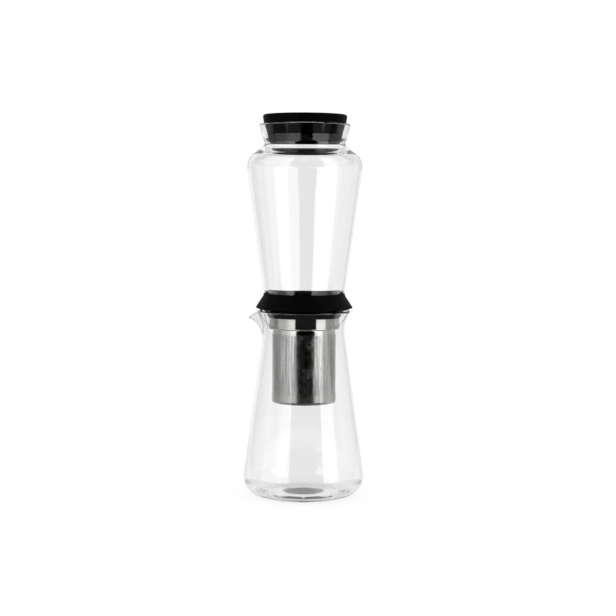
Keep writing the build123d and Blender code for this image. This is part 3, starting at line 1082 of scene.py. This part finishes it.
@dataclass(frozen=True)
class PaintedTable(Finish):
    """White paint. Mirrored in the piece, the table fades out far away and behind. This fade is painted
    shade, the edge of a painted pool of light.

    The strainer's shadow is a dark disc round the axis, soft between two radii.
    """

    name: str = "table_painted_white"
    colour: str = "#F4F4F4"
    shadow_colour: str = "#101010"
    shadow: Span = (18.9, 21.9)
    lit: Span = (72.0, 92.0)
    behind: Span = (60.0, 10.0)
    mirrored: Span = (0.9, 0.03)
    glow: float = 1.04
    glow_share: float = 0.85

    def shade(self, tree: Tree) -> Node:
        """Build paint that glows a little, so that the table stays as white as the room."""
        rays = add_node(tree, "ShaderNodeLightPath").outputs
        place = place_on(tree)
        away = add_node(tree, "ShaderNodeVectorMath", {"operation": "LENGTH"}, {0: place}).outputs["Value"]
        forward = add_node(tree, "ShaderNodeSeparateXYZ", inputs={0: place}).outputs[1]
        clear, outward, back = (
            remap(tree, value, [end * MM for end in span])
            for value, span in ((away, self.shadow), (away, self.lit), (forward, self.behind))
        )
        tone = blended(tree, clear, linear(self.shadow_colour), linear(self.colour))
        paint = add_node(tree, "ShaderNodeBsdfDiffuse", inputs={"Color": tone})
        # painted shade: in reflections the table's glow falls off beyond the lit circle in front of the
        # axis
        faded = remap(tree, calculate(tree, "MULTIPLY", outward, back), (0.0, 1.0), self.mirrored)
        level = remap(tree, rays["Glossy Depth"], (0.0, 1.0), (self.glow, faded))
        strength = calculate(tree, "MULTIPLY", level, clear)
        glow = add_node(tree, "ShaderNodeEmission", inputs={"Strength": strength})
        straight = calculate(tree, "LESS_THAN", rays["Diffuse Depth"], 0.5)
        share = calculate(tree, "MULTIPLY", straight, self.glow_share)
        both = {0: share, 1: paint.outputs[0], 2: glow.outputs[0]}
        return add_node(tree, "ShaderNodeMixShader", inputs=both)


@dataclass
class Studio:
    """A white table, white walls, two soft boxes with a dark gap between them, and the camera."""

    camera_distance: float = 1500.0
    camera_height: float = 294.0
    pitch: float = 4.045
    yaw: float = -0.125
    roll: float = -0.3
    lens: float = 88.1
    sensor: float = 36.0
    table_r: float = 560.0
    table_below: float = 0.05
    low_and_high: Span = (-15.0, -6.0)
    gap_left: Span = (-11.0, -27.0)
    gap_right: Span = (21.0, 38.0)
    gap_edge: float = 3.0
    panels: tuple[Panel, ...] = (
        Panel(-180, -173, 0.78),
        Panel(-166, -150, 0.95),
        Panel(-130, -94, 0.5),
        Panel(-84, -62, 1.05),
        Panel(-44, 0, 1.9),
        Panel(4, 68, 2.2),
        Panel(74, 150, 0.7),
        Panel(160, 166, 0.95),
        Panel(173, 180, 0.78),
    )
    panel_foot: Span = (-20.8, -19.4)
    panel_top: Span = (62.0, 50.0)
    raised_past: Span = (50.0, 75.0)
    raised_by: float = 0.09
    past_panels: float = 0.12

    def camera(self) -> Piece:
        """Place the camera level with the lower part of the vessel, looking slightly down."""
        data = bpy.data.cameras.new("studio_camera")
        data.lens = self.lens
        data.sensor_width = self.sensor
        camera = bpy.data.objects.new("studio_camera", data)
        camera.location = (0, -self.camera_distance * MM, self.camera_height * MM)
        camera.rotation_euler = np.radians((90 - self.pitch, self.roll, self.yaw)).tolist()
        bpy.context.scene.collection.objects.link(camera)
        bpy.context.scene.camera = camera
        return camera

    def table(self) -> Piece:
        """Lay a white table top, a hair under the foot of the decanter."""
        radii = np.linspace(self.table_r, 0, 8)
        top = turned("studio_table", np.stack([radii, 0 * radii - self.table_below], axis=-1))
        return dress(top, PaintedTable())

    def gap(self, tree: Tree, azimuth: Socket, height: Socket) -> Socket:
        """Cut the gap between the soft boxes, from 0 in it to 1 past its soft, leaning edges.

        The azimuth is the angle to the camera's right, the height the sine of the one upwards.
        """
        heights = np.sin(np.radians(self.low_and_high)).tolist()
        sides = (np.radians(side).tolist() for side in (self.gap_left, self.gap_right))
        left, right = (remap(tree, height, heights, side) for side in sides)
        past_left = calculate(tree, "SUBTRACT", left, azimuth)
        past_right = calculate(tree, "SUBTRACT", azimuth, right)
        past = calculate(tree, "MAXIMUM", past_left, past_right)
        return remap(tree, past, (0.0, float(np.radians(self.gap_edge))))

    def ring(self, tree: Tree, azimuth: Socket, brightest: float) -> Socket:
        """Set the panels round the room, each at its share of the brightest one's level."""
        position = remap(tree, azimuth, (-np.pi, np.pi))
        ring = add_node(tree, "ShaderNodeValToRGB", inputs={0: position})
        stops = ring.color_ramp.elements
        sides = [(side, panel.level) for panel in self.panels for side in (panel.start, panel.end)]
        for degrees, level in sides[1:-1]:
            stops.new(degrees / 360 + 0.5).color = (*[level / brightest] * 3, 1)
        for stop, (_, level) in ((stops[0], sides[0]), (stops[-1], sides[-1])):
            stop.color = (*[level / brightest] * 3, 1)
        return ring.outputs[0]

    def surroundings(self) -> None:
        """Light the room from all sides, and put the soft boxes and the gap into reflections."""
        world = bpy.data.worlds.new("studio_room")
        world.use_nodes = True
        world.cycles.sampling_method = "NONE"
        tree = world.node_tree
        tree.nodes.clear()
        rays = add_node(tree, "ShaderNodeLightPath").outputs
        way = add_node(tree, "ShaderNodeTexCoord").outputs["Generated"]
        axes = add_node(tree, "ShaderNodeSeparateXYZ", inputs={0: way}).outputs
        azimuth = calculate(tree, "ARCTAN2", axes[0], calculate(tree, "MULTIPLY", axes[1], -1.0))
        brightest = max(panel.level for panel in self.panels)
        sideways = calculate(tree, "ABSOLUTE", azimuth)
        raised = remap(tree, sideways, np.radians(self.raised_past).tolist(), (0.0, self.raised_by))
        foot = calculate(tree, "SUBTRACT", axes[2], raised)
        cut = self.gap(tree, azimuth, axes[2])
        for height, ends in ((foot, self.panel_foot), (axes[2], self.panel_top)):
            span = np.sin(np.radians(ends)).tolist()
            end = remap(tree, height, span, (self.past_panels / brightest, 1.0))
            cut = calculate(tree, "MULTIPLY", cut, end)
        strength = calculate(tree, "MULTIPLY", cut, brightest)
        room = {"Color": self.ring(tree, azimuth, brightest), "Strength": strength}
        around = add_node(tree, "ShaderNodeBackground", inputs=room)
        white = add_node(tree, "ShaderNodeBackground", inputs={"Color": (1, 1, 1, 1)})
        mirrored = calculate(tree, "GREATER_THAN", rays["Glossy Depth"], 0.5)
        choice = {0: mirrored, 1: white.outputs[0], 2: around.outputs[0]}
        seen = add_node(tree, "ShaderNodeMixShader", inputs=choice)
        add_node(tree, "ShaderNodeOutputWorld", inputs={"Surface": seen.outputs[0]})
        bpy.context.scene.world = world

    def build(self) -> list[Piece]:
        """Set up the room, the table and the camera."""
        self.surroundings()
        bpy.context.scene.view_settings.view_transform = "Standard"
        bpy.context.scene.cycles.max_bounces = 24
        bpy.context.scene.cycles.transmission_bounces = 20
        bpy.context.scene.cycles.glossy_bounces = 12
        return [self.table(), self.camera()]


def main() -> None:
    """Build every sub-assembly and the studio, and report each piece."""
    parts = (Decanter(), Strainer(), Collar(), WaterVessel(), DripValve(), Lid(), Studio())
    for part in parts:
        for piece in part.build():
            log.info("%s: %s", type(part).__name__, piece.name)


if __name__ == "__main__":
    logging.basicConfig(level=logging.INFO)
    main()
